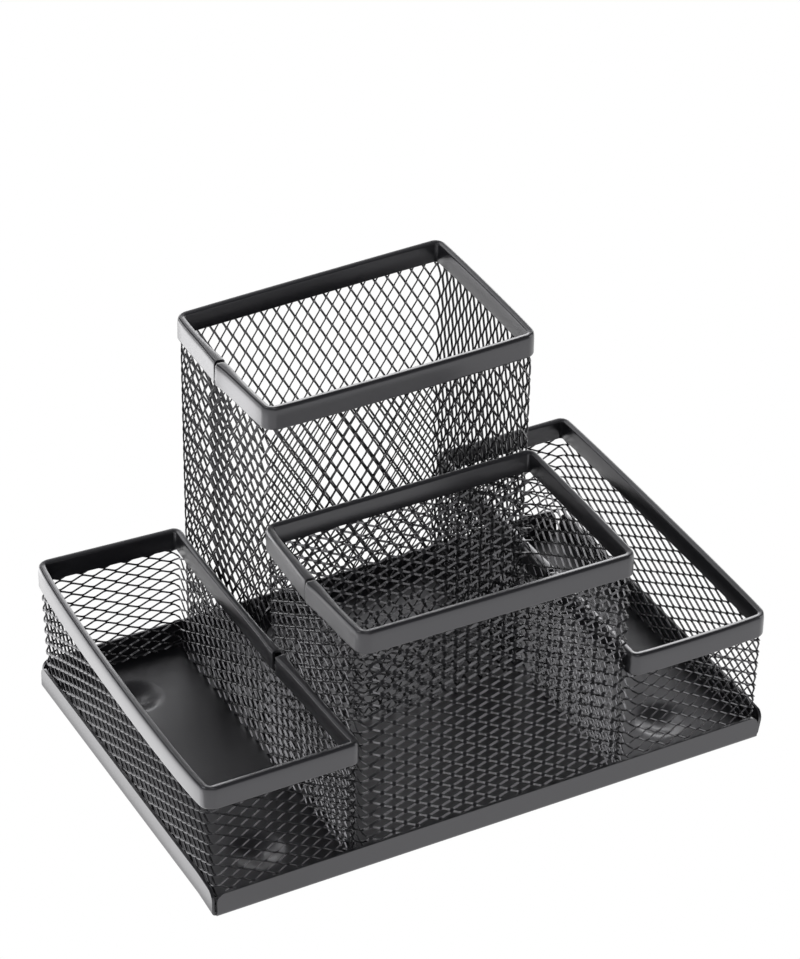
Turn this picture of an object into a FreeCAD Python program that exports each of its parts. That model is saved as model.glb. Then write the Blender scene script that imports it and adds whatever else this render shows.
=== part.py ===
# Wire-mesh desk organizer: a pressed steel pan on four dimpled feet carries two side trays, a
# middle cup and a tall cup, each an expanded-metal sleeve under a folded steel rim.
# Millimetres, +X to the right, +Y to the back, +Z up, origin on the desk under the pan's centre.
import FreeCAD, Part
import Sketcher
import math
import os
import re

SIZES = {
    # Pan: one sheet with its four walls folded up
    "pan_width": 155.0,
    "pan_depth": 103.0,
    "pan_wall_height": 7.0,
    "pan_sheet": 0.8,
    "pan_bend_radius": 0.3,
    "corner_slit": 0.7,
    "wall_end_radius": 2.5,
    # Feet: dimples pressed down out of the pan's floor
    "foot_depth": 1.8,
    "foot_mouth": 14.0,
    "foot_base": 10.0,
    "foot_inset_x": 20.0,
    "foot_inset_y": 16.5,
    # Sleeves: expanded metal, bent round into four walls
    "mesh_sheet": 0.8,
    "mesh_strand": 1.6,
    "mesh_short_way": 13.8,
    "mesh_long_way": 22.0,
    "mesh_border": 1.2,
    "mesh_corner_radius": 3.0,
    "sleeve_gap": 1.4,
    # Rims: channel strips folded over the sleeves' top edges
    "rim_sheet": 0.5,
    "rim_clearance": 0.1,
    "rim_height": 6.2,
    "rim_edge_bevel": 0.5,
    "rim_seam": 0.6,
    # Compartments: widths and depths over the mesh, tops above the desk
    "tray_width": 38.4,
    "middle_cup_depth": 49.8,
    "tray_top": 40.0,
    "middle_cup_top": 71.8,
    "tall_cup_top": 104.8,
    # Length that every cut runs past what it cuts
    "cut_overrun": 1.0,
}

# Where each rim's butt joint lies along its wall, from front to back
CUP_SEAM_SHARE = 0.5
TRAY_SEAM_SHARE = 0.4

# Where the first opening of each of the two staggered sets lies, as a share of a lattice step
STAGGER_SHARES = (0.5, 1.0)

# Fixed angles, the match for lengths, and the numbers that sketches and patterns use
QUARTER_TURN = math.pi / 2
FULL_TURN = 360
NEAR = 1e-4
SKETCH_ORIGIN = -1
SKETCH_X_AXIS = -1
SKETCH_Y_AXIS = -2
COMMON_STEP = -1.0

doc = FreeCAD.newDocument("desk_organizer")
sheet = doc.addObject("Spreadsheet::Sheet", "Sizes")
for row, (alias, value) in enumerate(SIZES.items(), start=1):
    sheet.set(f"A{row}", alias)
    sheet.set(f"B{row}", str(value))
    sheet.setAlias(f"B{row}", alias)
doc.recompute()


def formula(text):
    """The text with each size's name turned into a reference to its cell."""
    return re.sub(r"[a-z_]+", lambda m: f"Sizes.{m.group()}" if m.group() in SIZES else m.group(), text)


def number(text):
    """The value of a formula at the sheet's present sizes."""
    found = sheet.evalExpression(formula(text))
    return float(getattr(found, "Value", found))


def bind(feature, **formulas):
    """Ties properties of a feature to formulas in the sheet's sizes."""
    for name, text in formulas.items():
        feature.setExpression(name, formula(text))


def plane(body, role):
    return next(f for f in body.Origin.OriginFeatures if f.Role == role)


def new_body(label):
    body = doc.addObject("PartDesign::Body", label)
    body.Label = label
    return body


def new_sketch(body, name, role, offset="0"):
    """A sketch on one of the body's origin planes, moved along the plane's normal."""
    sketch = body.newObject("Sketcher::SketchObject", name)
    sketch.AttachmentSupport = (plane(body, role), "")
    sketch.MapMode = "FlatFace"
    sketch.setExpression("AttachmentOffset.Base.z", formula(offset))
    return sketch


def place_point(sketch, geometry, end, along, text):
    """Sets one coordinate of a line's end from the sketch's origin."""
    if text == "0":
        axis = SKETCH_Y_AXIS if along == "X" else SKETCH_X_AXIS
        sketch.addConstraint(Sketcher.Constraint("PointOnObject", geometry, end, axis))
        return
    index = sketch.addConstraint(
        Sketcher.Constraint(f"Distance{along}", SKETCH_ORIGIN, 1, geometry, end, number(text)))
    name = f"place_{index}"
    sketch.renameConstraint(index, name)
    sketch.setExpression(f"Constraints.{name}", formula(text))


def draw_polygon(sketch, corners):
    """A closed polygon; each corner is a pair of formulas."""
    points = [FreeCAD.Vector(number(x), number(y), 0) for x, y in corners]
    following = points[1:] + points[:1]
    lines = [sketch.addGeometry(Part.LineSegment(a, b)) for a, b in zip(points, following)]
    for line, after in zip(lines, lines[1:] + lines[:1]):
        sketch.addConstraint(Sketcher.Constraint("Coincident", line, 2, after, 1))
    for line, (x, y) in zip(lines, corners):
        place_point(sketch, line, 1, "X", x)
        place_point(sketch, line, 1, "Y", y)


def draw_rectangle(sketch, low_x, high_x, low_y, high_y):
    draw_polygon(sketch, [(low_x, low_y), (high_x, low_y), (high_x, high_y), (low_x, high_y)])


def draw_rounded_rectangle(sketch, low_x, high_x, low_y, high_y, radius):
    """A closed rectangle with four equal corner arcs."""
    x0, x1, y0, y1, r = (number(text) for text in (low_x, high_x, low_y, high_y, radius))
    up = FreeCAD.Vector(0, 0, 1)

    def line(ax, ay, bx, by):
        return sketch.addGeometry(Part.LineSegment(FreeCAD.Vector(ax, ay, 0), FreeCAD.Vector(bx, by, 0)))

    def arc(x, y, quarter):
        circle = Part.Circle(FreeCAD.Vector(x, y, 0), up, r)
        start = quarter * QUARTER_TURN
        return sketch.addGeometry(Part.ArcOfCircle(circle, start, start + QUARTER_TURN))

    front = line(x0 + r, y0, x1 - r, y0)
    front_right = arc(x1 - r, y0 + r, 3)
    right = line(x1, y0 + r, x1, y1 - r)
    back_right = arc(x1 - r, y1 - r, 0)
    back = line(x1 - r, y1, x0 + r, y1)
    back_left = arc(x0 + r, y1 - r, 1)
    left = line(x0, y1 - r, x0, y0 + r)
    front_left = arc(x0 + r, y0 + r, 2)
    loop = [front, front_right, right, back_right, back, back_left, left, front_left]
    for piece, after in zip(loop, loop[1:] + loop[:1]):
        sketch.addConstraint(Sketcher.Constraint("Tangent", piece, 2, after, 1))
    for level in (front, back):
        sketch.addConstraint(Sketcher.Constraint("Horizontal", level))
    for upright in (right, left):
        sketch.addConstraint(Sketcher.Constraint("Vertical", upright))
    for corner, other in zip(loop[1::2], loop[3::2]):
        sketch.addConstraint(Sketcher.Constraint("Equal", corner, other))
    index = sketch.addConstraint(Sketcher.Constraint("Radius", front_right, r))
    sketch.renameConstraint(index, f"radius_{index}")
    sketch.setExpression(f"Constraints.radius_{index}", formula(radius))
    place_point(sketch, front, 1, "Y", low_y)
    place_point(sketch, right, 1, "X", high_x)
    place_point(sketch, back, 1, "Y", high_y)
    place_point(sketch, left, 1, "X", low_x)


def pad(body, sketch, name, length):
    feature = body.newObject("PartDesign::Pad", name)
    feature.Profile = sketch
    bind(feature, Length=length)
    return feature


def cut(body, sketch, name, length=None, upwards=False):
    """A pocket of the given depth, or right through both ways; it has to remove something."""
    doc.recompute()
    before = body.Shape.Volume
    feature = body.newObject("PartDesign::Pocket", name)
    feature.Profile = sketch
    if length is None:
        feature.SideType = "Symmetric"
        feature.Type = "ThroughAll"
    else:
        feature.Reversed = upwards
        bind(feature, Length=length)
    doc.recompute()
    if not body.Shape.Volume < before:
        raise RuntimeError(f"{body.Label}: {name} cuts nothing")
    return feature


def dress_edges(body, kind, name, chosen, **sizes):
    """A fillet or chamfer on the edges of the body's last feature that the test chooses."""
    doc.recompute()
    base = body.Tip
    names = [f"Edge{i}" for i, edge in enumerate(base.Shape.Edges, start=1) if chosen(edge)]
    feature = body.newObject(f"PartDesign::{kind}", name)
    feature.Base = (base, names)
    bind(feature, **sizes)
    return feature


def lies_level(edge, height):
    """True for an edge that lies wholly at one height."""
    box = edge.BoundBox
    return abs(box.ZMin - height) < NEAR and abs(box.ZMax - height) < NEAR


# The floor's level, and the sleeves' outer faces, which stand just clear of the pan's bends
FLOOR = "foot_depth + pan_sheet"
SIDE = "(pan_width / 2 - pan_sheet - pan_bend_radius)"
FRONT = "(pan_depth / 2 - pan_sheet - pan_bend_radius)"
TRAY_INNER = f"({SIDE} - tray_width)"
CUP_SIDE = f"({TRAY_INNER} - sleeve_gap)"
MIDDLE_BACK = f"(middle_cup_depth - {FRONT})"
TALL_FRONT = f"({MIDDLE_BACK} + sleeve_gap)"


def base_pan():
    """The pan: folded walls with open corner notches, and four pressed feet."""
    body = new_body("base_pan")
    half_x, half_y = "pan_width / 2", "pan_depth / 2"
    outline = new_sketch(body, "pan_outline", "XY_Plane", "foot_depth")
    draw_rectangle(outline, f"-{half_x}", half_x, f"-{half_y}", half_y)
    pad(body, outline, "pan_block", "pan_wall_height")
    inside = new_sketch(body, "pan_inside", "XY_Plane", "foot_depth + pan_wall_height")
    inner_x, inner_y = f"({half_x} - pan_sheet)", f"({half_y} - pan_sheet)"
    draw_rectangle(inside, f"-{inner_x}", inner_x, f"-{inner_y}", inner_y)
    cut(body, inside, "pan_hollow", "pan_wall_height - pan_sheet")
    underside, floor = number("foot_depth"), number(FLOOR)
    dress_edges(body, "Fillet", "outer_bend", lambda e: lies_level(e, underside),
                Radius="pan_bend_radius + pan_sheet")
    dress_edges(body, "Fillet", "inner_bend", lambda e: lies_level(e, floor), Radius="pan_bend_radius")
    cut_corner_notches(body, half_x, half_y)
    round_wall_ends(body)
    press_feet(body)
    return body


def cut_corner_notches(body, half_x, half_y):
    """The relief at each corner, where the folded walls' ends stand apart."""
    for x_sign in ("-", ""):
        for y_sign in ("-", ""):
            notch = new_sketch(body, "corner_relief", "XY_Plane")
            across = [f"{x_sign}({half_x} {edge})" for edge in ("- pan_sheet - corner_slit", "+ cut_overrun")]
            along = [f"{y_sign}({half_y} {edge})" for edge in ("- pan_sheet - corner_slit", "+ cut_overrun")]
            draw_rectangle(notch, *across, *along)
            cut(body, notch, "corner_cut")


def round_wall_ends(body):
    """The rounded top corners at both ends of each folded wall."""
    top = number("foot_depth + pan_wall_height")
    thickness = number("pan_sheet")

    def at_end(edge):
        return lies_level(edge, top) and abs(edge.Length - thickness) < NEAR

    dress_edges(body, "Fillet", "wall_end_rounding", at_end, Radius="wall_end_radius")


def press_feet(body):
    """Four dimples: a dish below the floor, hollow from above and as thick as the sheet."""
    mouth, base = "foot_mouth / 2", "foot_base / 2"
    for x_sign in ("-", ""):
        for y_sign in ("-", ""):
            x = f"{x_sign}(pan_width / 2 - foot_inset_x)"
            y = f"{y_sign}(pan_depth / 2 - foot_inset_y)"
            dish = foot_profile(body, "foot_dish", x, y, [
                ("0", "foot_depth"), (mouth, "foot_depth"), (base, "0"), ("0", "0")])
            revolve(body, "PartDesign::Revolution", "foot", dish)
            hollow = foot_profile(body, "foot_hollow", x, y, [
                ("0", FLOOR), (mouth, FLOOR), (base, "pan_sheet"), ("0", "pan_sheet")])
            before = body.Shape.Volume
            revolve(body, "PartDesign::Groove", "foot_press", hollow)
            if not body.Shape.Volume < before:
                raise RuntimeError("a foot was not hollowed")


def foot_profile(body, name, x, y, corners):
    """Half a foot's section, on a plane through the foot's own axis."""
    sketch = new_sketch(body, name, "XZ_Plane", f"-({y})")
    sketch.setExpression("AttachmentOffset.Base.x", formula(x))
    draw_polygon(sketch, corners)
    return sketch


def revolve(body, kind, name, sketch):
    feature = body.newObject(kind, name)
    feature.Profile = sketch
    feature.ReferenceAxis = (sketch, ["V_Axis"])
    feature.Angle = FULL_TURN
    doc.recompute()
    return feature


def mesh_sleeve(label, low_x, high_x, low_y, high_y, top, long_way_up):
    """An expanded-metal sleeve on the pan's floor, its top edge inside the rim's fold."""
    body = new_body(label)
    ring = new_sketch(body, "strip", "XY_Plane", FLOOR)
    draw_rounded_rectangle(ring, low_x, high_x, low_y, high_y, "mesh_corner_radius")
    draw_rounded_rectangle(
        ring, f"{low_x} + mesh_sheet", f"{high_x} - mesh_sheet", f"{low_y} + mesh_sheet",
        f"{high_y} - mesh_sheet", "mesh_corner_radius - mesh_sheet")
    pad(body, ring, "sleeve", f"{top} - rim_sheet - ({FLOOR})")
    across, upright = "mesh_long_way", "mesh_short_way"
    if long_way_up:
        across, upright = upright, across
    rows_from, rows_to = f"({FLOOR} + mesh_border)", f"({top} - rim_height)"
    for role, low, high in (("XZ_Plane", low_x, high_x), ("YZ_Plane", low_y, high_y)):
        span = (f"({low} + mesh_corner_radius)", f"({high} - mesh_corner_radius)")
        slit_walls(body, role, span, (rows_from, rows_to), across, upright)
    return body


def slit_walls(body, role, span, rise, across, upright):
    """Staggered rows of diamond openings through a pair of opposite walls, halved at the walls' edges."""
    columns = f"max(1; round(({span[1]} - {span[0]}) / {across}))"
    rows = f"max(1; round(({rise[1]} - {rise[0]}) / {upright}))"
    step_x = f"(({span[1]} - {span[0]}) / {columns})"
    step_z = f"(({rise[1]} - {rise[0]}) / {rows})"
    # Each opening is a lattice cell drawn in by half a strand on every side
    open_share = f"(1 - mesh_strand * sqrt({step_x} ^ 2 + {step_z} ^ 2) / ({step_x} * {step_z}))"
    half_x, half_z = f"{open_share} * {step_x} / 2", f"{open_share} * {step_z} / 2"

    def opening_at(column, row, missing=None):
        x, z = f"({span[0]} + {step_x} * {column})", f"({rise[0]} + {step_z} * {row})"
        corners = {"left": (f"{x} - {half_x}", z), "below": (x, f"{z} - {half_z}"),
                   "right": (f"{x} + {half_x}", z), "above": (x, f"{z} + {half_z}")}
        return [corner for side, corner in corners.items() if side != missing]

    fewer_columns, fewer_rows = f"{columns} - 1", f"{rows} - 1"
    middle, edge = STAGGER_SHARES
    cut_pattern(body, role, [opening_at(middle, middle)], (columns, step_x), (rows, step_z))
    cut_pattern(body, role, [opening_at(edge, edge)], (fewer_columns, step_x), (fewer_rows, step_z))
    ends = [opening_at(0, edge, "left"), opening_at(columns, edge, "right")]
    cut_pattern(body, role, ends, ("1", step_x), (fewer_rows, step_z))
    brinks = [opening_at(edge, 0, "below"), opening_at(edge, rows, "above")]
    cut_pattern(body, role, brinks, (fewer_columns, step_x), ("1", step_z))


def cut_pattern(body, role, openings, along, upward):
    """One set of openings cut through, then repeated along the wall and up it."""
    (count, step), (count_up, step_up) = along, upward
    if number(count) < 1 or number(count_up) < 1:
        return
    outlines = new_sketch(body, "diamond", role)
    for corners in openings:
        draw_polygon(outlines, corners)
    opening = cut(body, outlines, "opening")
    lattice = body.newObject("PartDesign::LinearPattern", "lattice")
    lattice.Originals = [opening]
    lattice.Refine = False
    lattice.Mode = lattice.Mode2 = "Spacing"
    lattice.Direction = (outlines, ["H_Axis"])
    lattice.Direction2 = (outlines, ["V_Axis"])
    lattice.Occurrences2 = int(number(count_up))
    lattice.Spacings2 = [COMMON_STEP] * (lattice.Occurrences2 - 1)
    bind(lattice, Offset=step, Offset2=step_up, Occurrences=count, Occurrences2=count_up)
    body.Tip = lattice
    doc.recompute()


def folded_rim(label, low_x, high_x, low_y, high_y, top, seam_share, seam_on_left):
    """A channel strip folded over a sleeve's top edge, closed by a butt seam."""
    body = new_body(label)
    outside = "rim_clearance + rim_sheet"
    inside = "mesh_sheet + rim_clearance + rim_sheet"

    def ring(name, height, outer, inner):
        sketch = new_sketch(body, name, "XY_Plane", height)
        for grow in (f"({outer})", f"(-({inner}))"):
            draw_rounded_rectangle(
                sketch, f"{low_x} - {grow}", f"{high_x} + {grow}", f"{low_y} - {grow}",
                f"{high_y} + {grow}", f"mesh_corner_radius + {grow}")
        return sketch

    pad(body, ring("leaves", f"{top} - rim_height", outside, inside), "channel", "rim_height")
    slot = ring("slot_ring", f"{top} - rim_height", "rim_clearance", "mesh_sheet + rim_clearance")
    cut(body, slot, "mesh_slot", "rim_height - rim_sheet", upwards=True)
    crown = number(top)
    dress_edges(body, "Chamfer", "crown", lambda e: lies_level(e, crown), Size="rim_edge_bevel")
    seam = new_sketch(body, "seam_line", "XY_Plane")
    middle = f"({low_y} + ({high_y} - ({low_y})) * {seam_share})"
    wall = (f"{low_x} - ({outside}) - cut_overrun", f"{low_x} + {inside} + cut_overrun")
    if not seam_on_left:
        wall = (f"{high_x} - ({inside}) - cut_overrun", f"{high_x} + {outside} + cut_overrun")
    draw_rectangle(seam, *wall, f"{middle} - rim_seam / 2", f"{middle} + rim_seam / 2")
    cut(body, seam, "butt_seam")
    return body


# Name, outer faces over the mesh, top, long way of the diamonds, and the rim's seam
COMPARTMENTS = [
    ("left_tray", f"-{SIDE}", f"-{TRAY_INNER}", f"-{FRONT}", FRONT, "tray_top", False,
     TRAY_SEAM_SHARE, False),
    ("right_tray", TRAY_INNER, SIDE, f"-{FRONT}", FRONT, "tray_top", False, TRAY_SEAM_SHARE, True),
    ("middle_cup", f"-{CUP_SIDE}", CUP_SIDE, f"-{FRONT}", MIDDLE_BACK, "middle_cup_top", False,
     CUP_SEAM_SHARE, True),
    ("tall_cup", f"-{CUP_SIDE}", CUP_SIDE, TALL_FRONT, FRONT, "tall_cup_top", True, CUP_SEAM_SHARE, True),
]

bodies = [base_pan()]
for name, low_x, high_x, low_y, high_y, top, long_way_up, seam_share, seam_on_left in COMPARTMENTS:
    bodies.append(mesh_sleeve(f"{name}_mesh", low_x, high_x, low_y, high_y, top, long_way_up))
    bodies.append(folded_rim(f"{name}_rim", low_x, high_x, low_y, high_y, top, seam_share, seam_on_left))
doc.recompute()

for item in doc.Objects:
    if {"Invalid", "Error"} & set(item.State):
        raise RuntimeError(f"{item.Label} failed: {item.State}")
for body in bodies:
    if body.Shape.isNull() or not body.Shape.isValid():
        raise RuntimeError(f"{body.Label} has no valid shape")

os.makedirs("parts", exist_ok=True)
for body in bodies:
    body.Shape.exportStep(f"parts/{body.Label}.step")
    print(f"{body.Label}: {len(body.Shape.Solids)} solid, {body.Shape.Volume:.0f} cubic millimetres")
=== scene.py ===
import math
from collections import namedtuple

import bmesh
import bpy
import numpy as np
from mathutils import Matrix, Vector


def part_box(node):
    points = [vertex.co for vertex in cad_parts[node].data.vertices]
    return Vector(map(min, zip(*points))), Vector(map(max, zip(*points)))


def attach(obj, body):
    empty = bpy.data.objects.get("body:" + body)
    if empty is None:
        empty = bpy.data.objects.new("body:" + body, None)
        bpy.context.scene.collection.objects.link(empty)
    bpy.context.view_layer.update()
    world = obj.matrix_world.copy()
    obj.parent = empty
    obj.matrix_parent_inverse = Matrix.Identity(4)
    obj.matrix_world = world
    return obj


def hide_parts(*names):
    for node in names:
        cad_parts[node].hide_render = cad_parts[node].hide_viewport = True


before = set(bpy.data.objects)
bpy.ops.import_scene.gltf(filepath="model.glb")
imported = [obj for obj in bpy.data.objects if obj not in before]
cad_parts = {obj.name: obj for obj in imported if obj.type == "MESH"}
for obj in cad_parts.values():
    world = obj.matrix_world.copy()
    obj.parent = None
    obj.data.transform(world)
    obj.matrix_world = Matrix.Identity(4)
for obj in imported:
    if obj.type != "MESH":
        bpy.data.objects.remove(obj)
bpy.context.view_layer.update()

# Lengths of the pieces are in millimetres until a mesh is made
MM = 0.001

# The pan's folded sheet, with a notch at each corner and rounded ends on its walls
PAN_SHEET = 0.8
PAN_INNER_BEND = 0.3
PAN_BEND_DEGREES = (0.0, 15.0, 30.0, 45.0, 60.0, 75.0, 90.0)
PAN_ABOVE_BEND = 0.15
PAN_CORNER_NOTCH = 1.0
PAN_WALL_END_RADIUS = 2.5
PAN_WALL_END_DEGREES = (0, 20, 38, 54, 68)
PAN_EDGE_ROUNDING = 0.15
PAN_SHARP_DEGREES = 40.0

# The lean of the back and right wall, and the floor's droop at the left and right end of its front edge
PAN_LEAN = 1.0
PAN_DROOP = (0.9, 0.45)
PAN_DROOP_LENGTH = 8.5

# The feet pressed out of the pan's floor
FOOT_CENTRES = [(x, y) for x in (-57.5, 57.5) for y in (-35.0, 35.0)]
FOOT_DEPTH = 1.8
FOOT_FLAT_RADIUS = 0.8
FOOT_MOUTH_RADIUS = 7.6

# Lines across the floor: how many at a foot, the step elsewhere, and how far they keep from notches and feet
FOOT_LINES = 21
FLOOR_LINE_STEP = 8.0
FLOOR_FIRST_LINE, FLOOR_LAST_LINE = 6.0, 5.0
FLOOR_FOOT_CLEARANCE = 2.0

# The sleeves' sheet, their corners below the rim and in it, and the height over which one becomes the other
MESH_SHEET = 0.8
MESH_TIGHT_RADIUS = 1.2
RIM_CORNER_RADIUS = 1.8
CORNER_BLEND = 5.0

# The lap where a sleeve's two ends meet: its width, how far each end gives way, and over what length
LAP_WIDTH = 10.7
LAP_SPREAD = 0.42
LAP_RAMP = 4.0

# The strands' tilt changes this far to each side of a corner, and their edges are sharp above this angle
TILT_CHANGE = 2.5
STRAND_SHARP_DEGREES = 50.0

# A bond's points, as ends, levels and faces, and the corners of a strand's section, as level and face
BOND_GRID = (2, 3, 2)
STRAND_SECTION = ((0, 0), (1, 0), (1, 1), (0, 1))

# A strand bends this share of its way along from each bond
STRAND_BEND_SHARE = 0.25

# Rows and columns made beyond the sheet's edges, and how near to a cut a point counts as on it
SPARE_CELLS = 2
CUT_TOLERANCE = 1e-5

# Each compartment's metal:
# seam: the wall with the lap seam, and the seam's share of that wall from the front
# gap: the gap in the rim's butt seam
# upright: whether the metal's long way stands upright
# pitch: its long and short pitch
# strand: the strands' width and thickness
# bond: the bonds' length
# swing: the share of its rise that a strand has made at its first bend
# tilts: the strands' tilt out of the sheet in degrees, on each wall from the seam on
# rise: how high the rows lie at the seam's first end, at each corner from there on and at the seam's last end
COMPARTMENTS = {
    "left_tray": dict(
        seam=("right", 0.4), gap=1.8, upright=False, pitch=(6.15, 3.27), strand=(0.46, 0.32), bond=0.45,
        swing=0.23, tilts=(-36, 42, 60, 42, -36), rise=(3.6, 3.6, 3.6, -3.6, -4.4, -4.4)),
    "right_tray": dict(
        seam=("left", 0.4), gap=0.6, upright=False, pitch=(6.0, 3.52), strand=(0.46, 0.36), bond=0.6,
        swing=0.23, tilts=(42, 42, 42, 42, 42), rise=(-1.1, -1.1, -1.1, 1.2, 1.2, 1.2)),
    "middle_cup": dict(
        seam=("left", 0.5), gap=0.3, upright=False, pitch=(6.45, 3.75), strand=(0.56, 0.27), bond=0.5,
        swing=0.22, tilts=(36, -42, -42, 42, 36), rise=(0.0, 1.4, -3.6, -3.0, -1.4, 0.0)),
    "tall_cup": dict(
        seam=("left", 0.5), gap=0.6, upright=True, pitch=(5.93, 3.48), strand=(0.48, 0.38), bond=0.35,
        swing=0.24, tilts=(42, -42, -42, -42, 42), rise=(0.0, -1.5, 0.0, 0.0, -1.5, 1.0)),
}

# How each sleeve has moved at its rim, in making and in use:
# corners: right, back and up at the front left, front right, back right and back left corner
# bows: how far the front, right, back and left wall bow outwards between them
MOVED = {
    "left_tray": dict(corners=((-1.6, 0.0, 0.0), (0.4, 0.0, 0.0), (0.5, 0.0, 0.0), (-0.1, 0.0, 1.6)),
                      bows=(0.1, -1.1, 0.0, 2.4)),
    "right_tray": dict(corners=((0.0, 0.0, 0.0), (0.3, 0.0, 0.0), (0.5, 0.0, 0.0), (0.0, 0.0, 0.0)),
                       bows=(0.9, 0.8, 0.0, 0.0)),
    "middle_cup": dict(corners=((-0.5, 0.0, 0.0), (0.5, 0.0, -0.9), (0.0, 0.0, 0.3), (-0.9, 0.0, 0.3)),
                       bows=(0.1, 0.2, 0.0, 1.5)),
    "tall_cup": dict(corners=((0.5, 0.0, -0.3), (0.5, 0.0, 0.5), (0.5, 0.0, 1.3), (0.0, 0.0, -0.7)),
                     bows=(0.8, 0.6, 0.2, 1.2)),
}
BOW_POWER = 0.45

# The rim's folded section: out from the sleeve's middle, and up from the rim's top
RIM_SECTION = np.array([
    (0.50, -1.00), (0.50, -5.98), (0.56, -6.13), (0.72, -6.20), (0.90, -6.14), (1.00, -5.98), (0.99, -5.70),
    (0.98, -4.40), (0.97, -3.00), (0.96, -2.10), (0.93, -1.40), (0.87, -0.88), (0.76, -0.47), (0.60, -0.19),
    (0.40, -0.04), (0.20, 0.00), (-0.25, -0.09), (-0.72, -0.19), (-0.90, -0.26), (-0.98, -0.41),
    (-0.99, -0.70), (-0.99, -2.00), (-0.98, -5.55), (-0.88, -5.73), (-0.73, -5.80), (-0.58, -5.73),
    (-0.50, -5.58), (-0.50, -1.00), (-0.38, -0.78), (0.0, -0.66), (0.38, -0.78),
])
RIM_HEIGHT = 6.2

# How far below the rim's top the sleeve's own edge ends
RIM_TOP_INSIDE = 0.6

# Where the rim's section is set: steps on a straight, on a corner's arc and from each end, and the least step
RIM_STRAIGHT_STEP = 3.0
RIM_ARC_STEPS = 9
RIM_END_STEPS = np.array((0.4, 0.9, 1.6, 2.5))
RIM_LEAST_STEP = 0.05

# The rim bulges over the lap, this far along from its butt seam
SEAM_BULGE_LENGTH = 7.0

# At the seam its first end stands out from the other, gapes at the top and has its lower corner cut
SEAM_PROUD = 0.25
SEAM_GAPE = 0.4
SEAM_CORNER_CUT = 0.6
SEAM_CUT_HEIGHT = 1.8
SEAM_REACH = 4.0

# Places are rounded to this many digits, and count as the same when they are this near
PLACE_DIGITS = 4
SAME_PLACE = 1e-6

# What all the paints share: sheen, clouded tone and the fine orange peel of a powder coat
SPECULAR = 1.0
SPECULAR_TINT = (0.96, 0.95, 1.0, 1)
COAT = 0.3
COAT_ROUGHNESS = 0.22
CLOUD_SCALE, CLOUD_DETAIL = 45.0, 4.0
CLOUD_DARK, CLOUD_PALE = 0.3, 0.7
PEEL_SCALE, PEEL_DETAIL = 1400.0, 2.0
PEEL_DEPTH = 0.00006

# Each material slot's darkest and palest tone, least and most roughness, and strength of its orange peel. The
# three slots are one black powder coat: the pan's and the mesh's tones are painted shade, set darker than the
# rim's
PAINTS = {
    # The pan's tones are painted shade, darker than the rim's
    "pan_paint": dict(
        dark=(0.009, 0.009, 0.011), pale=(0.014, 0.014, 0.016), roughness=(0.30, 0.40), peel=0.25),
    "rim_paint": dict(
        dark=(0.015, 0.015, 0.018), pale=(0.023, 0.023, 0.026), roughness=(0.27, 0.33), peel=0.10),
    # The mesh's tones are painted shade, darker still than the pan's
    "mesh_paint": dict(
        dark=(0.006, 0.006, 0.007), pale=(0.010, 0.010, 0.011), roughness=(0.22, 0.30), peel=0.15),
}

# The studio, in metres: a white floor in a dim room
FLOOR_HALF = 2.0
FLOOR_COLOUR = (0.85, 0.85, 0.85, 1)
ROOM_COLOUR = (0.12, 0.12, 0.125, 1)

# Softboxes round this point: their direction and distance, their width and height, and their radiance
SOFTBOX_AIM = (0, 0, 0.05)
SOFTBOXES = {
    "softbox_back": dict(towards=(0.34, 0.80, 0.48), distance=1.1, size=(1.2, 0.8), radiance=0.5),
    "softbox_high": dict(towards=(-0.05, 0.72, 0.69), distance=1.1, size=(0.35, 0.30), radiance=1.9),
    "backdrop_left": dict(towards=(-0.45, 0.87, 0.02), distance=1.0, size=(1.2, 0.16), radiance=2.4),
    "backdrop_right": dict(towards=(0.54, 0.82, 0.21), distance=1.0, size=(1.2, 0.45), radiance=3.2),
    "softbox_left": dict(towards=(-0.75, 0.02, 0.66), distance=1.1, size=(0.40, 0.35), radiance=5.0),
    "softbox_front": dict(towards=(-0.28, -0.73, 0.62), distance=1.3, size=(0.45, 0.40), radiance=1.9),
    "softbox_right": dict(towards=(0.88, -0.40, 0.26), distance=1.3, size=(0.6, 0.5), radiance=2.0),
}

# Lit panels in the floor beside the left wall, which the left faces mirror: two corners and their radiance
LIGHT_TABLES = {
    "light_table_near": dict(low=(-0.185, -0.055), high=(-0.0796, 0.115), radiance=1.25),
    "light_table_far": dict(low=(-0.185, 0.115), high=(-0.0796, 0.30), radiance=2.8),
}
LIGHT_TABLE_HEIGHT = 0.0005

# The camera that the photograph's edges were fitted to
CAMERA_PLACE = (-383.186, -699.196, 612.781)
CAMERA_YAW, CAMERA_PITCH, CAMERA_ROLL = (math.radians(a) for a in (28.692, 34.074, 0.993))
CAMERA_NEAREST = 0.01
FOCAL_PIXELS = 3896.604
IMAGE_HEIGHT = 959
SENSOR = 36.0


def box_mm(node):
    low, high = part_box(node)
    return np.array(low) / MM, np.array(high) / MM


def smooth_step(value):
    value = np.clip(value, 0.0, 1.0)
    return value * value * (3 - 2 * value)


def quads(*corners):
    """Four arrays of vertex numbers as a list of four-cornered faces."""
    return np.stack(corners, -1).reshape(-1, 4)


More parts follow.
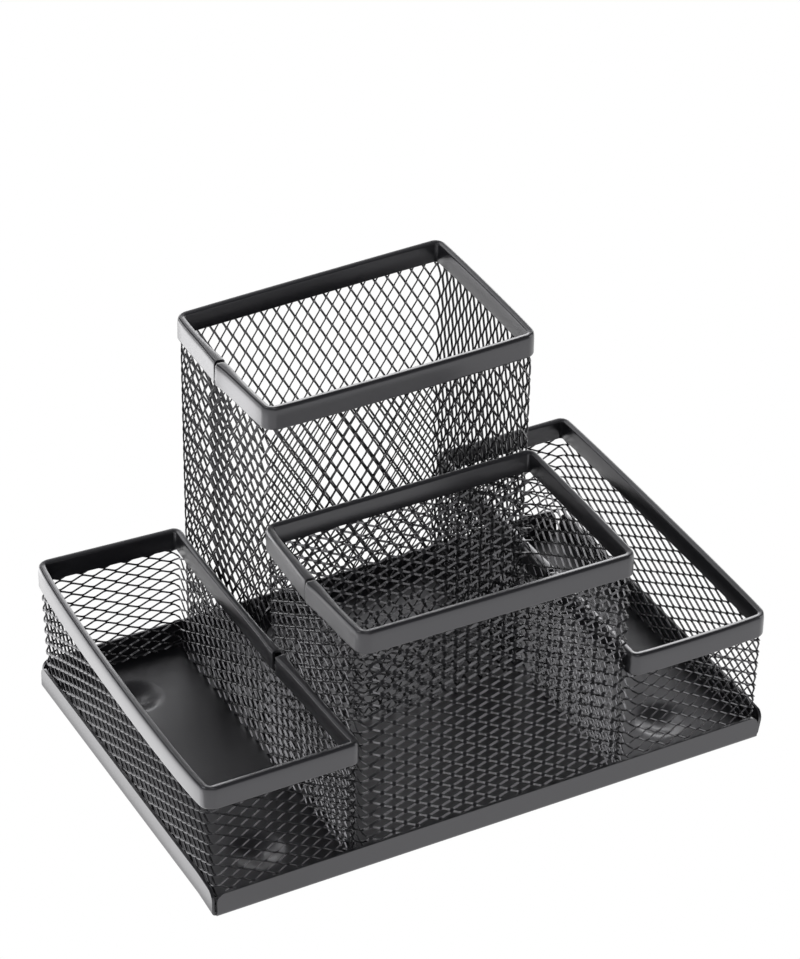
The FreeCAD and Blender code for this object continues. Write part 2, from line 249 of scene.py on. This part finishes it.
class Ring:
    """A rounded rectangle walked anticlockwise as seen from above, measured from its seam."""

    def __init__(self, low, high, radius, seam_side, seam_share):
        self.radius = radius
        span_x, span_y = high[0] - low[0] - 2 * radius, high[1] - low[1] - 2 * radius
        arc = radius * math.pi / 2
        lengths = [span_x, arc, span_y, arc, span_x, arc, span_y, arc]
        self.starts = np.concatenate([[0.0], np.cumsum(lengths)[:-1]])
        self.length = float(sum(lengths))
        left, right = low[0] + radius, high[0] - radius
        front, back = low[1] + radius, high[1] - radius
        self.corners = self.starts[1::2] + arc / 2
        self.anchors = np.array([
            (left, low[1]), (right, front), (high[0], front), (right, back),
            (right, high[1]), (left, back), (low[0], back), (left, front)])
        seam_y = low[1] + seam_share * (high[1] - low[1])
        if seam_side == "left":
            self.seam = self.starts[6] + back - seam_y
        else:
            self.seam = self.starts[2] + seam_y - front

    def corner_places(self):
        """The corners' middles in walking order, as distances from the seam."""
        return np.sort((self.corners - self.seam) % self.length)

    def at(self, along):
        """Points and outward normals at these distances from the seam."""
        place = (np.asarray(along) + self.seam) % self.length
        stretch = np.searchsorted(self.starts, place, side="right") - 1
        beyond = place - self.starts[stretch]
        curving = stretch % 2 == 1
        heading = (stretch // 2) * math.pi / 2 + np.where(curving, beyond / self.radius, 0.0)
        forward = np.stack([np.cos(heading), np.sin(heading)], axis=-1)
        outward = np.stack([np.sin(heading), -np.cos(heading)], axis=-1)
        straight = self.anchors[stretch] + forward * beyond[..., None]
        curved = self.anchors[stretch] + outward * self.radius
        return np.where(curving[..., None], curved, straight), outward


def middle_ring(name, facts, radius):
    """The line round the middle of a sleeve's sheet, with corners of this radius."""
    low, high = box_mm(name + "_mesh")
    half = MESH_SHEET / 2
    return Ring(low[:2] + half, high[:2] - half, radius, *facts["seam"])


def new_object(name, verts_mm, faces):
    mesh = bpy.data.meshes.new(name)
    mesh.from_pydata((np.asarray(verts_mm) * MM).tolist(), [], faces)
    mesh.validate()
    mesh.polygons.foreach_set("use_smooth", [True] * len(mesh.polygons))
    obj = bpy.data.objects.new(name, mesh)
    bpy.context.scene.collection.objects.link(obj)
    return obj


def keep_piece(obj, slot, *nodes):
    obj.data.materials.append(MATERIALS[slot])
    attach(obj, "root")
    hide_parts(*nodes)


def fix_normals(obj):
    work = bmesh.new()
    work.from_mesh(obj.data)
    bmesh.ops.recalc_face_normals(work, faces=work.faces[:])
    work.to_mesh(obj.data)
    work.free()


def mark_sharp(obj, degrees):
    work = bmesh.new()
    work.from_mesh(obj.data)
    limit = math.radians(degrees)
    for edge in work.edges:
        edge.smooth = len(edge.link_faces) == 2 and edge.calc_face_angle(0.0) < limit
    work.to_mesh(obj.data)
    work.free()


def bent(name, points):
    """The sleeve's and rim's points moved as MOVED says: nothing at the pan, all of it at the rim."""
    low, high = box_mm(name + "_mesh")
    x, y, rise = np.clip((points - low) / (high - low), 0, 1).T
    front_left, front_right, back_right, back_left = np.array(MOVED[name]["corners"])[:, None, :]
    x, y = x[:, None], y[:, None]
    moved = (front_left * (1 - x) + front_right * x) * (1 - y) + (back_left * (1 - x) + back_right * x) * y
    front, right, back, left = MOVED[name]["bows"]
    arch_x, arch_y = (4 * x * (1 - x)) ** BOW_POWER, (4 * y * (1 - y)) ** BOW_POWER
    moved[:, 0:1] += arch_y * (right * x - left * (1 - x))
    moved[:, 1:2] += arch_x * (back * y - front * (1 - y))
    return points + moved * smooth_step(rise)[:, None]


def cells(span, pitch):
    """Numbers of the cells that cover this span, with some to spare."""
    first, last = math.floor(span[0] / pitch), math.ceil(span[1] / pitch)
    return np.arange(first - SPARE_CELLS, last + SPARE_CELLS + 1)


def flat_lattice(long_span, short_span, facts, corner_places):
    """Raised expanded metal laid flat: long way, short way and out of the sheet."""
    long_pitch, short_pitch = facts["pitch"]
    width, thickness = facts["strand"]
    rows, columns = cells(short_span, short_pitch / 2), cells(long_span, long_pitch)
    row, column = np.meshgrid(rows, columns, indexing="ij")
    odd = row % 2
    bond_long = (column + odd / 2) * long_pitch
    bond_short = row * short_pitch / 2
    borders = np.array([(place - TILT_CHANGE, place + TILT_CHANGE) for place in corner_places]).ravel()
    degrees = np.repeat(facts["tilts"], 2)[1:-1]
    tilt = np.radians(np.interp(bond_short if facts["upright"] else bond_long, borders, degrees))

    # Bonds, where two strands lie edge to edge
    bonds = np.zeros(row.shape + BOND_GRID + (3,))
    for end, level, face in np.ndindex(BOND_GRID):
        across = (level - 1) * width
        through = (face - 0.5) * thickness
        point = bonds[:, :, end, level, face]
        point[..., 0] = bond_long + (end - 0.5) * facts["bond"]
        point[..., 1] = bond_short + across * np.cos(tilt) - through * np.sin(tilt)
        point[..., 2] = across * np.sin(tilt) + through * np.cos(tilt)
    number = np.arange(bonds[..., 0].size).reshape(bonds.shape[:-1])
    bond_points = bonds.reshape(-1, 3)
    verts, faces = [bond_points], []
    for level in (0, 1):
        for face in (0, 1):
            faces.append(quads(number[:, :, 0, level, face], number[:, :, 1, level, face],
                               number[:, :, 1, level + 1, face], number[:, :, 0, level + 1, face]))
    for level in (0, 2):
        faces.append(quads(number[:, :, 0, level, 0], number[:, :, 1, level, 0],
                           number[:, :, 1, level, 1], number[:, :, 0, level, 1]))

    # From each bond one strand goes on to the next row and one to the row before
    count = number.size
    bend, swing = STRAND_BEND_SHARE, facts["swing"]
    here_row, here_column = np.indices(row.shape)
    for step, low_here, low_there in ((1, 1, 0), (-1, 0, 1)):
        there_row, there_column = here_row + step, here_column + odd
        real = (there_row >= 0) & (there_row < row.shape[0]) & (there_column < row.shape[1])
        here = number[here_row[real], here_column[real]]
        there = number[there_row[real], there_column[real]]
        first = np.stack([here[:, 1, low_here + level, face] for level, face in STRAND_SECTION], -1)
        last = np.stack([there[:, 0, low_there + level, face] for level, face in STRAND_SECTION], -1)
        rings = [first]
        for long_share, short_share in ((bend, swing), (1 - bend, 1 - swing)):
            share = np.array([long_share, short_share, short_share])
            between = bond_points[first] * (1 - share) + bond_points[last] * share
            rings.append(count + np.arange(first.size).reshape(first.shape))
            verts.append(between.reshape(-1, 3))
            count += first.size
        rings.append(last)
        for a, b in zip(rings[:-1], rings[1:]):
            for k in range(len(STRAND_SECTION)):
                m = (k + 1) % len(STRAND_SECTION)
                faces.append(quads(a[:, k], a[:, m], b[:, m], b[:, k]))
    return np.concatenate(verts), np.concatenate(faces)


def trimmed(verts, faces, limits):
    """The lattice cut off at its sheet's edges, every cut strand closed."""
    mesh = bpy.data.meshes.new("flat_lattice")
    mesh.from_pydata(verts.tolist(), [], faces.tolist())
    work = bmesh.new()
    work.from_mesh(mesh)
    bpy.data.meshes.remove(mesh)
    for axis, (low, high) in enumerate(limits):
        for place, sign in ((low, -1.0), (high, 1.0)):
            point, normal = Vector((0, 0, 0)), Vector((0, 0, 0))
            point[axis], normal[axis] = place, sign
            bmesh.ops.bisect_plane(work, geom=work.verts[:] + work.edges[:] + work.faces[:],
                                   dist=CUT_TOLERANCE, plane_co=point, plane_no=normal, clear_outer=True)
            open_edges = [e for e in work.edges if e.is_boundary]
            bmesh.ops.holes_fill(work, edges=open_edges, sides=0)
    bmesh.ops.recalc_face_normals(work, faces=work.faces[:])
    return work


def sleeve(name, facts):
    low, high = box_mm(name + "_mesh")
    ring = middle_ring(name, facts, MESH_TIGHT_RADIUS)
    rim_ring = middle_ring(name, facts, RIM_CORNER_RADIUS)
    corner_places = ring.corner_places()
    around = (-LAP_WIDTH / 2, ring.length + LAP_WIDTH / 2)
    upward = (low[2], high[2] - RIM_TOP_INSIDE)

    # The sheet laid flat, with room for its rows to rise and fall before it is cut to size
    margin = np.abs(facts["rise"]).max()
    along_axis, height_axis = (1, 0) if facts["upright"] else (0, 1)
    spans, limits = [None, None], [None, None]
    spans[along_axis], spans[height_axis] = around, (upward[0] - margin, upward[1] + margin)
    limits[along_axis], limits[height_axis] = around, upward
    verts, faces = flat_lattice(*spans, facts, corner_places)
    rise_places = [around[0], *corner_places, around[1]]
    verts[:, height_axis] += np.interp(verts[:, along_axis], rise_places, facts["rise"])
    work = trimmed(verts, faces, limits)
    mesh = bpy.data.meshes.new(name + "_lattice")
    work.to_mesh(mesh)
    work.free()
    flat = np.zeros(len(mesh.vertices) * 3)
    mesh.vertices.foreach_get("co", flat)
    flat = flat.reshape(-1, 3)

    # The sheet bent round, one end outside the other, with the rim's wider corners at the top
    along, height = flat[:, along_axis], flat[:, height_axis]
    inner_end = 1 - smooth_step((along - LAP_WIDTH / 2) / LAP_RAMP)
    outer_end = smooth_step((along - (ring.length - LAP_WIDTH / 2 - LAP_RAMP)) / LAP_RAMP)
    depth = flat[:, 2] + LAP_SPREAD * (inner_end - outer_end)
    in_rim = smooth_step((height - high[2] + RIM_HEIGHT + CORNER_BLEND) / CORNER_BLEND)
    places = [around[0], 0.0, *corner_places, ring.length, around[1]]
    rim_places = [around[0], 0.0, *rim_ring.corner_places(), rim_ring.length, rim_ring.length + LAP_WIDTH / 2]
    rim_along = np.interp(along, places, rim_places)
    placed = np.zeros((len(flat), 3))
    for circuit, where, weight in ((ring, along, 1 - in_rim), (rim_ring, rim_along, in_rim)):
        point, outward = circuit.at(where)
        placed[:, :2] += weight[:, None] * (point + outward * depth[:, None])
    placed[:, 2] = height
    mesh.vertices.foreach_set("co", (bent(name, placed) * MM).ravel())
    mesh.polygons.foreach_set("use_smooth", [True] * len(mesh.polygons))
    mesh.set_sharp_from_angle(angle=math.radians(STRAND_SHARP_DEGREES))
    mesh.update()
    obj = bpy.data.objects.new(name + "_lattice", mesh)
    bpy.context.scene.collection.objects.link(obj)
    keep_piece(obj, "mesh_paint", name + "_mesh")


def ring_stations(ring, start, end):
    """Distances along the ring where its section is set: finely on the arcs, sparsely on the straights."""
    stations = [start, end, *(start + RIM_END_STEPS), *(end - RIM_END_STEPS)]
    for turn in (0, 1):
        for k, (first, last) in enumerate(zip(ring.starts, [*ring.starts[1:], ring.length])):
            parts = RIM_ARC_STEPS if k % 2 else max(1, round((last - first) / RIM_STRAIGHT_STEP))
            for place in np.linspace(first, last, parts, endpoint=False):
                stations.append(place + turn * ring.length - ring.seam)
    stations = np.unique(np.round([s for s in stations if start <= s <= end], PLACE_DIGITS))
    kept = [stations[0]]
    for s in stations[1:-1]:
        if s - kept[-1] > RIM_LEAST_STEP and stations[-1] - s > RIM_LEAST_STEP:
            kept.append(s)
    return np.array(kept + [stations[-1]])


def rim(name, facts):
    top = box_mm(name + "_rim")[1][2]
    ring = middle_ring(name, facts, RIM_CORNER_RADIUS)
    stations = ring_stations(ring, facts["gap"] / 2, ring.length - facts["gap"] / 2)
    out, up = RIM_SECTION.T
    fall = -up
    trim = SEAM_GAPE * (1 - fall / RIM_HEIGHT)
    trim += SEAM_CORNER_CUT * smooth_step((fall - RIM_HEIGHT + SEAM_CUT_HEIGHT) / SEAM_CUT_HEIGHT)
    first_end = np.clip(1 - stations / SEAM_REACH, 0, 1)
    point, outward = ring.at(stations[:, None] + first_end[:, None] * trim)
    from_seam = np.minimum(stations, ring.length - stations)
    bulge = LAP_SPREAD * np.exp(-(from_seam / SEAM_BULGE_LENGTH) ** 2)
    proud = SEAM_PROUD * smooth_step(first_end)
    spread = out + np.sign(out) * bulge[:, None] + proud[:, None]
    verts = np.zeros((len(stations), len(RIM_SECTION), 3))
    verts[:, :, :2] = point + outward * spread[:, :, None]
    verts[:, :, 2] = top + up
    ids = np.arange(len(stations) * len(RIM_SECTION)).reshape(len(stations), -1).tolist()
    faces = []
    for a, b in zip(ids[:-1], ids[1:]):
        for k in range(len(RIM_SECTION)):
            m = (k + 1) % len(RIM_SECTION)
            faces.append((a[k], b[k], b[m], a[m]))
    faces += [tuple(ids[0]), tuple(reversed(ids[-1]))]
    obj = new_object(name + "_rim_strip", bent(name, verts.reshape(-1, 3)), faces)
    fix_normals(obj)
    for polygon in obj.data.polygons:
        if len(polygon.vertices) > 4:
            polygon.use_smooth = False
    keep_piece(obj, "rim_paint", name + "_rim")


# A line across the pan: place and height on the sheet's inner and outer face, and whether it is on a wall
PanLine = namedtuple("PanLine", "inner inner_height outer outer_height folded")


def folded_steps(reach, floor, top):
    """Inner and outer reach and height of the sheet as it leaves the floor, bends and rises to its edge."""
    outer_bend = PAN_INNER_BEND + PAN_SHEET
    centre, level = reach - outer_bend, floor + PAN_INNER_BEND
    steps = []
    for turn in np.radians(PAN_BEND_DEGREES):
        steps.append((centre + PAN_INNER_BEND * math.sin(turn), level - PAN_INNER_BEND * math.cos(turn),
                      centre + outer_bend * math.sin(turn), level - outer_bend * math.cos(turn)))
    inside, outside = reach - PAN_SHEET, reach
    radius = PAN_WALL_END_RADIUS
    heights = [level + PAN_ABOVE_BEND, (level + top - radius) / 2]
    heights += [top - radius + radius * math.sin(a) for a in np.radians(PAN_WALL_END_DEGREES)]
    heights += [top - PAN_EDGE_ROUNDING]
    steps += [(inside, h, outside, h) for h in heights]
    steps.append((inside + PAN_EDGE_ROUNDING, top, outside - PAN_EDGE_ROUNDING, top))
    return steps


def floor_lines(notch, centres):
    """Lines across the floor: close together at the feet, far apart elsewhere."""
    lines = {-notch, notch}
    for centre in centres:
        near = np.linspace(-FOOT_MOUTH_RADIUS, FOOT_MOUTH_RADIUS, FOOT_LINES)
        lines.update(np.round(centre + near, PLACE_DIGITS))
    for place in np.arange(-notch + FLOOR_FIRST_LINE, notch - FLOOR_LAST_LINE, FLOOR_LINE_STEP):
        if all(abs(place - c) > FOOT_MOUTH_RADIUS + FLOOR_FOOT_CLEARANCE for c in centres):
            lines.add(round(float(place), PLACE_DIGITS))
    return sorted(lines)


def pan_lines(axis, reach, floor, top):
    """All lines across the pan on one axis, from its near edge to its far edge."""
    steps = folded_steps(reach, floor, top)
    flat = floor_lines(reach - PAN_CORNER_NOTCH, sorted({c[axis] for c in FOOT_CENTRES}))
    lines = [PanLine(-i, zi, -o, zo, True) for i, zi, o, zo in reversed(steps)]
    lines += [PanLine(p, floor, p, floor - PAN_SHEET, False) for p in flat]
    lines += [PanLine(i, zi, o, zo, True) for i, zi, o, zo in steps]
    return lines


def foot_share(x, y):
    """How much of a foot's depth the floor has lost at this place."""
    away = min(math.hypot(x - cx, y - cy) for cx, cy in FOOT_CENTRES)
    return float(smooth_step((FOOT_MOUTH_RADIUS - away) / (FOOT_MOUTH_RADIUS - FOOT_FLAT_RADIUS)))


def rounded_end(place, reach, past):
    """A place along a wall, drawn in at the wall's end, this far past the start of the end's rounding."""
    if past <= 0 or abs(abs(place) - (reach - PAN_CORNER_NOTCH)) >= SAME_PLACE:
        return place
    radius = PAN_WALL_END_RADIUS
    return place - math.copysign(radius - math.sqrt(max(0.0, radius ** 2 - past ** 2)), place)


def sprung(point, high, floor, top):
    """The pan as handling has left it: back and right wall lean out, the floor droops along its front."""
    x, y, z = point
    lean = PAN_LEAN * max(0.0, (z - floor) / (top - floor))
    if x > high[0] - PAN_SHEET - PAN_EDGE_ROUNDING:
        x += lean
    if y > high[1] - PAN_SHEET - PAN_EDGE_ROUNDING:
        y += lean
    left, right = PAN_DROOP
    droop = left + (right - left) * (x / high[0] + 1) / 2
    return x, y, z - droop * float(smooth_step((PAN_DROOP_LENGTH - high[1] - y) / PAN_DROOP_LENGTH))


def pan():
    high = box_mm("base_pan")[1]
    floor, top = FOOT_DEPTH + PAN_SHEET, high[2]
    columns, rows = (pan_lines(axis, high[axis], floor, top) for axis in (0, 1))
    verts, inner, outer = [], {}, {}
    for i, column in enumerate(columns):
        for j, row in enumerate(rows):
            if column.folded and row.folded:
                continue
            fold = column if column.folded else row
            for table, x, y, z in ((inner, column.inner, row.inner, fold.inner_height),
                                   (outer, column.outer, row.outer, fold.outer_height)):
                past = z - (top - PAN_WALL_END_RADIUS)
                if row.folded:
                    x = rounded_end(x, high[0], past)
                elif column.folded:
                    y = rounded_end(y, high[1], past)
                else:
                    z -= FOOT_DEPTH * foot_share(x, y)
                table[i, j] = len(verts)
                verts.append(sprung((x, y, z), high, floor, top))
    faces, edges = [], {}
    for i in range(len(columns) - 1):
        for j in range(len(rows) - 1):
            loop = [(i, j), (i + 1, j), (i + 1, j + 1), (i, j + 1)]
            if not all(corner in inner for corner in loop):
                continue
            faces.append([inner[c] for c in loop])
            faces.append([outer[c] for c in reversed(loop)])
            for a, b in zip(loop, loop[1:] + loop[:1]):
                edges.setdefault(frozenset((a, b)), []).append((a, b))
    for pair in edges.values():
        if len(pair) == 1:
            a, b = pair[0]
            faces.append([inner[b], inner[a], outer[a], outer[b]])
    obj = new_object("pan_sheet", verts, faces)
    fix_normals(obj)
    mark_sharp(obj, PAN_SHARP_DEGREES)
    keep_piece(obj, "pan_paint", "base_pan")


def noise(nodes, links, where, scale, detail):
    node = nodes.new("ShaderNodeTexNoise")
    node.inputs["Scale"].default_value = scale
    node.inputs["Detail"].default_value = detail
    links.new(where.outputs["Object"], node.inputs["Vector"])
    return node.outputs["Fac"]


def paint(name, dark, pale, roughness, peel):
    """Satin black powder coat: a fine orange peel, slightly uneven in tone and sheen."""
    material = bpy.data.materials.new(name)
    material.use_nodes = True
    nodes, links = material.node_tree.nodes, material.node_tree.links
    shader = nodes["Principled BSDF"]
    shader.inputs["Specular IOR Level"].default_value = SPECULAR
    shader.inputs["Specular Tint"].default_value = SPECULAR_TINT
    shader.inputs["Coat Weight"].default_value = COAT
    shader.inputs["Coat Roughness"].default_value = COAT_ROUGHNESS
    where = nodes.new("ShaderNodeTexCoord")
    cloud = noise(nodes, links, where, CLOUD_SCALE, CLOUD_DETAIL)
    tone = nodes.new("ShaderNodeValToRGB")
    for element, place, colour in zip(tone.color_ramp.elements, (CLOUD_DARK, CLOUD_PALE), (dark, pale)):
        element.position = place
        element.color = (*colour, 1)
    links.new(cloud, tone.inputs["Fac"])
    links.new(tone.outputs["Color"], shader.inputs["Base Color"])
    sheen = nodes.new("ShaderNodeMapRange")
    sheen.inputs["To Min"].default_value, sheen.inputs["To Max"].default_value = roughness
    links.new(cloud, sheen.inputs["Value"])
    links.new(sheen.outputs["Result"], shader.inputs["Roughness"])
    bump = nodes.new("ShaderNodeBump")
    bump.inputs["Strength"].default_value = peel
    bump.inputs["Distance"].default_value = PEEL_DEPTH
    links.new(noise(nodes, links, where, PEEL_SCALE, PEEL_DETAIL), bump.inputs["Height"])
    links.new(bump.outputs["Normal"], shader.inputs["Normal"])
    return material


def is_seen(nodes, links):
    """1 for rays from the camera, mirrored or refracted, 0 for the soft light that bounces."""
    path = nodes.new("ShaderNodeLightPath")
    total = path.outputs["Is Camera Ray"]
    for kind in ("Is Glossy Ray", "Is Transmission Ray"):
        most = nodes.new("ShaderNodeMath")
        most.operation = "MAXIMUM"
        links.new(total, most.inputs[0])
        links.new(path.outputs[kind], most.inputs[1])
        total = most.outputs[0]
    return total


def show_mixed(nodes, links, share, first, second, output):
    """The first shader where the share is 0, the second where it is 1."""
    mix = nodes.new("ShaderNodeMixShader")
    out = nodes.new(output)
    links.new(share, mix.inputs["Fac"])
    links.new(first.outputs[0], mix.inputs[1])
    links.new(second.outputs[0], mix.inputs[2])
    links.new(mix.outputs[0], out.inputs["Surface"])


def white_floor():
    half = FLOOR_HALF
    mesh = bpy.data.meshes.new("floor")
    corners = [(-half, -half, 0), (half, -half, 0), (half, half, 0), (-half, half, 0)]
    mesh.from_pydata(corners, [], [(0, 1, 2, 3)])
    obj = bpy.data.objects.new("floor", mesh)
    bpy.context.scene.collection.objects.link(obj)
    material = bpy.data.materials.new("floor_white")
    material.use_nodes = True
    nodes, links = material.node_tree.nodes, material.node_tree.links
    nodes.clear()
    matte = nodes.new("ShaderNodeBsdfDiffuse")
    matte.inputs["Color"].default_value = FLOOR_COLOUR
    glow = nodes.new("ShaderNodeEmission")
    show_mixed(nodes, links, is_seen(nodes, links), matte, glow, "ShaderNodeOutputMaterial")
    mesh.materials.append(material)


def studio_world():
    world = bpy.data.worlds.new("studio")
    bpy.context.scene.world = world
    world.use_nodes = True
    nodes, links = world.node_tree.nodes, world.node_tree.links
    nodes.clear()
    path = nodes.new("ShaderNodeLightPath")
    room = nodes.new("ShaderNodeBackground")
    room.inputs["Color"].default_value = ROOM_COLOUR
    white = nodes.new("ShaderNodeBackground")
    show_mixed(nodes, links, path.outputs["Is Camera Ray"], room, white, "ShaderNodeOutputWorld")


def area_lamp(name, width, height, radiance):
    """A rectangular lamp that the camera doesn't see."""
    lamp = bpy.data.lights.new(name, "AREA")
    lamp.shape = "RECTANGLE"
    lamp.size, lamp.size_y = width, height
    lamp.energy = math.pi * width * height * radiance
    obj = bpy.data.objects.new(name, lamp)
    obj.visible_camera = False
    bpy.context.scene.collection.objects.link(obj)
    return obj


def softbox(name, towards, distance, size, radiance):
    obj = area_lamp(name, *size, radiance)
    direction = Vector(towards).normalized()
    obj.location = Vector(SOFTBOX_AIM) + direction * distance
    obj.rotation_euler = direction.to_track_quat("Z", "Y").to_euler()


def light_table(name, low, high, radiance):
    obj = area_lamp(name, high[0] - low[0], high[1] - low[1], radiance)
    obj.location = ((low[0] + high[0]) / 2, (low[1] + high[1]) / 2, LIGHT_TABLE_HEIGHT)
    obj.rotation_euler = (math.pi, 0, 0)


def place_camera():
    data = bpy.data.cameras.new("camera")
    data.sensor_width = SENSOR
    data.lens = FOCAL_PIXELS / IMAGE_HEIGHT * SENSOR
    data.clip_start = CAMERA_NEAREST
    forward = Vector((math.sin(CAMERA_YAW) * math.cos(CAMERA_PITCH),
                      math.cos(CAMERA_YAW) * math.cos(CAMERA_PITCH), -math.sin(CAMERA_PITCH)))
    level = Vector((math.cos(CAMERA_YAW), -math.sin(CAMERA_YAW), 0.0))
    above = level.cross(forward)
    right = level * math.cos(CAMERA_ROLL) + above * math.sin(CAMERA_ROLL)
    up = above * math.cos(CAMERA_ROLL) - level * math.sin(CAMERA_ROLL)
    turn = Matrix((right, up, -forward)).transposed().to_4x4()
    obj = bpy.data.objects.new("camera", data)
    obj.matrix_world = Matrix.Translation(Vector(CAMERA_PLACE) * MM) @ turn
    bpy.context.scene.collection.objects.link(obj)
    bpy.context.scene.camera = obj


MATERIALS = {slot: paint(slot + "_satin", **look) for slot, look in PAINTS.items()}

pan()
for compartment, compartment_facts in COMPARTMENTS.items():
    sleeve(compartment, compartment_facts)
    rim(compartment, compartment_facts)

white_floor()
studio_world()
for lamp_name, lamp_facts in SOFTBOXES.items():
    softbox(lamp_name, **lamp_facts)
for lamp_name, lamp_facts in LIGHT_TABLES.items():
    light_table(lamp_name, **lamp_facts)
place_camera()
bpy.context.scene.view_settings.view_transform = "Standard"
